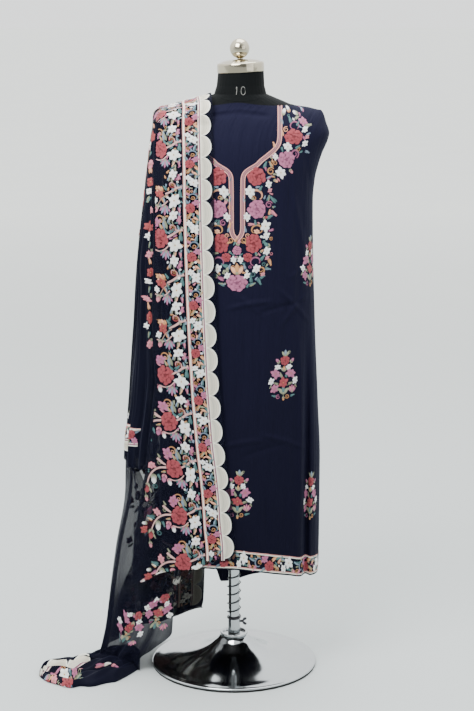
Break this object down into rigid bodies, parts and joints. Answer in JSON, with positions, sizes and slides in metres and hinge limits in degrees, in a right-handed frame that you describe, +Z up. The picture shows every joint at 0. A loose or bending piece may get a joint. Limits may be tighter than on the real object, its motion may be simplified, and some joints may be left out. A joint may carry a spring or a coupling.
{
  "type": "salwar kameez suit on a dress form",
  "caption": "Uncut salwar kameez suit: embroidered navy kameez lengths and a bordered sheer dupatta draped over one shoulder of a limbless dress form on a weighted stand.",
  "frame": {"origin": "middle of the base's flat underside, on the floor", "axes": "+Z up; the suit's front faces -Y; +X to the right as seen from the front"},
  "size_m": [0.7064, 0.41, 1.5385],
  "materials": {
    "chrome": "polished",
    "dark_steel": "blackened",
    "black_rubber": "matt",
    "form_cover": "black stretch cover, matt",
    "navy_crepe": "navy crepe, embroidered",
    "sheer_navy": "sheer navy georgette, embroidered"
  },
  "bodies": {
    "suit_and_stand": {"base": "chrome", "base_ring": "black_rubber", "base_flange": "chrome", "pole": "chrome", "pole_sleeve": "chrome", "pole_spring": "dark_steel", "neck_cap": "chrome", "cap_ball": "chrome", "form_torso": "form_cover", "kameez_front": "navy_crepe", "kameez_back": "navy_crepe", "dupatta_front": "sheer_navy", "dupatta_turned_end": "sheer_navy", "dupatta_side_pleats": "sheer_navy", "dupatta_shoulder": "sheer_navy", "dupatta_back": "sheer_navy", "dupatta_tail": "sheer_navy"},
    "screw": {"height_screw": "dark_steel"}
  },
  "joints": [
    {"name": "height_screw_turn", "type": "hinge", "parent": "suit_and_stand", "child": "screw", "pos_m": [0.0153, 0, 0.106], "axis": [1, 0, 0], "continuous": true}
  ]
}
